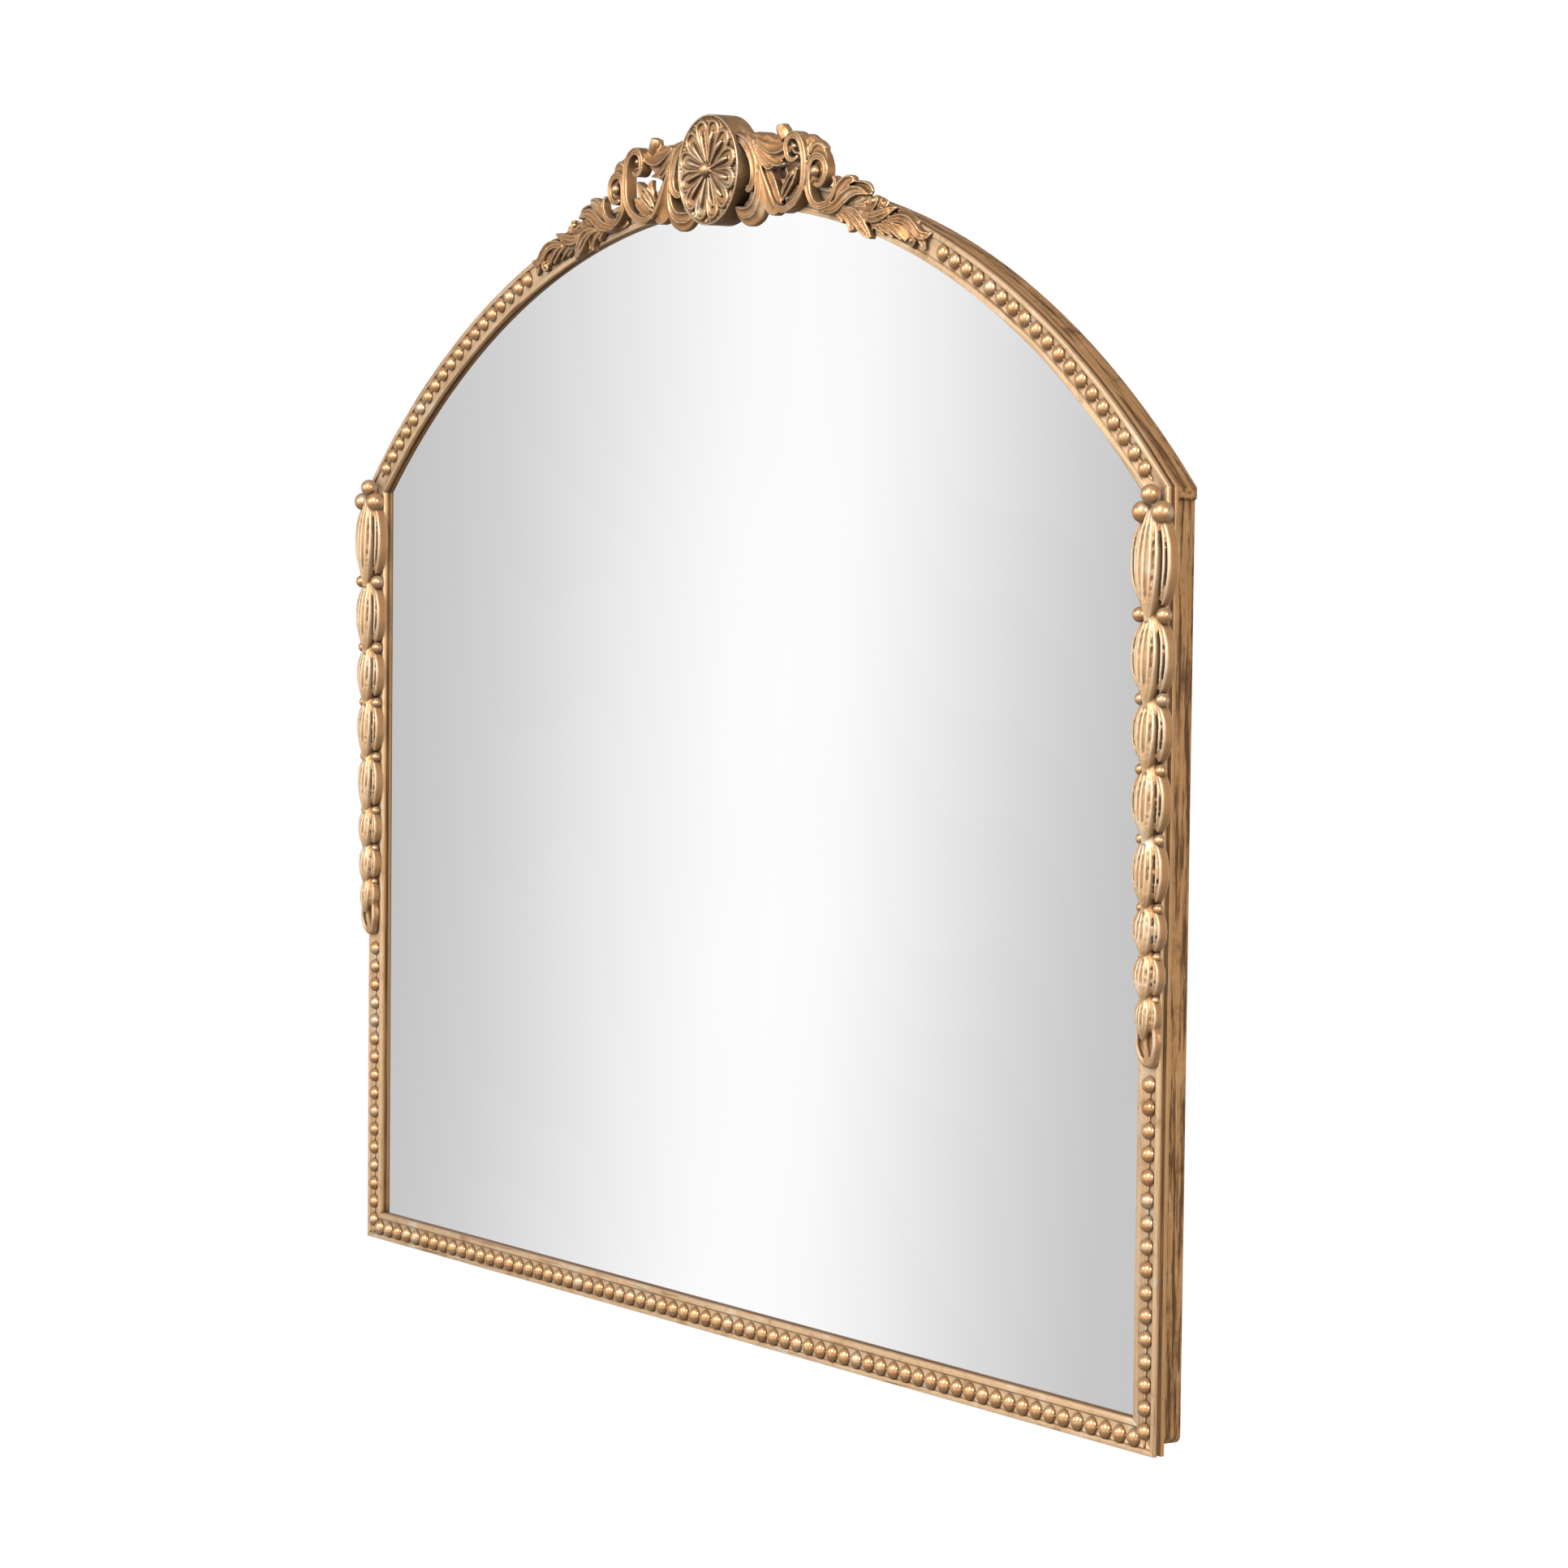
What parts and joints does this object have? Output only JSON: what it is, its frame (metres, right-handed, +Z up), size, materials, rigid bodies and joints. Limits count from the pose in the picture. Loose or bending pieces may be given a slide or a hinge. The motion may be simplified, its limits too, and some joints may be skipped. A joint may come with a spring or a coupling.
{
  "type": "arched wall mirror",
  "caption": "Wall mirror with an arched head in a gilded beaded frame, with a carved flower crest, husk drops on the sides and ring hangers behind.",
  "frame": {"origin": "centre of the bottom rail's rear face, on the wall plane", "axes": "+X across the mirror to the right as seen from the front, +Y into the wall, +Z up; the glass faces -Y"},
  "size_m": [1.0926, 0.0448, 0.9009],
  "materials": {
    "gilded_moulding": "water-gilt wood, rubbed and toned",
    "gilded_side": "gilt wood rubbed through to brown",
    "gilded_beads": "gilded, burnished on top",
    "gilded_carving": "gilded carving with dark hollows",
    "silvered_glass": "clear silvered glass",
    "backing_board": "plain fibreboard",
    "zinc_steel": "zinc plated",
    "brass_plate": "brass plated steel"
  },
  "bodies": {
    "frame": {"right_stile_moulding": "gilded_moulding", "left_stile_moulding": "gilded_moulding", "bottom_rail_moulding": "gilded_moulding", "arch_moulding_right": "gilded_moulding", "arch_moulding_left": "gilded_moulding", "subframe_stile_right": "gilded_side", "subframe_stile_left": "gilded_side", "subframe_rail": "gilded_side", "subframe_arch_right": "gilded_side", "subframe_arch_left": "gilded_side", "mirror_glass": "silvered_glass", "back_panel": "backing_board", "bead_row_right": "gilded_beads", "bead_row_left": "gilded_beads", "bead_row_bottom": "gilded_beads", "bead_row_arch_right": "gilded_beads", "bead_row_arch_left": "gilded_beads", "husk_drop_right": "gilded_carving", "husk_drop_left": "gilded_carving", "crest_boss": "gilded_carving", "crest_rosette": "gilded_carving", "crest_button": "gilded_carving", "crest_fan_right": "gilded_carving", "crest_fan_left": "gilded_carving", "crest_volute_right": "gilded_carving", "crest_volute_left": "gilded_carving", "crest_garland_right": "gilded_carving", "crest_garland_left": "gilded_carving", "panel_screws": "zinc_steel", "crest_pins": "zinc_steel", "hanger_screws": "zinc_steel", "hanger_strap_right": "brass_plate", "hanger_strap_left": "brass_plate"},
    "ring_left": {"hanger_ring_left": "brass_plate"},
    "ring_right": {"hanger_ring_right": "brass_plate"}
  },
  "joints": [
    {"name": "ring_left_swing", "type": "hinge", "parent": "frame", "child": "ring_left", "pos_m": [-0.33, -0.00455, 0.52], "axis": [-1, 0, 0], "range_deg": [0, 170]},
    {"name": "ring_right_swing", "type": "hinge", "parent": "frame", "child": "ring_right", "pos_m": [0.33, -0.00455, 0.52], "axis": [-1, 0, 0], "range_deg": [0, 170]}
  ]
}
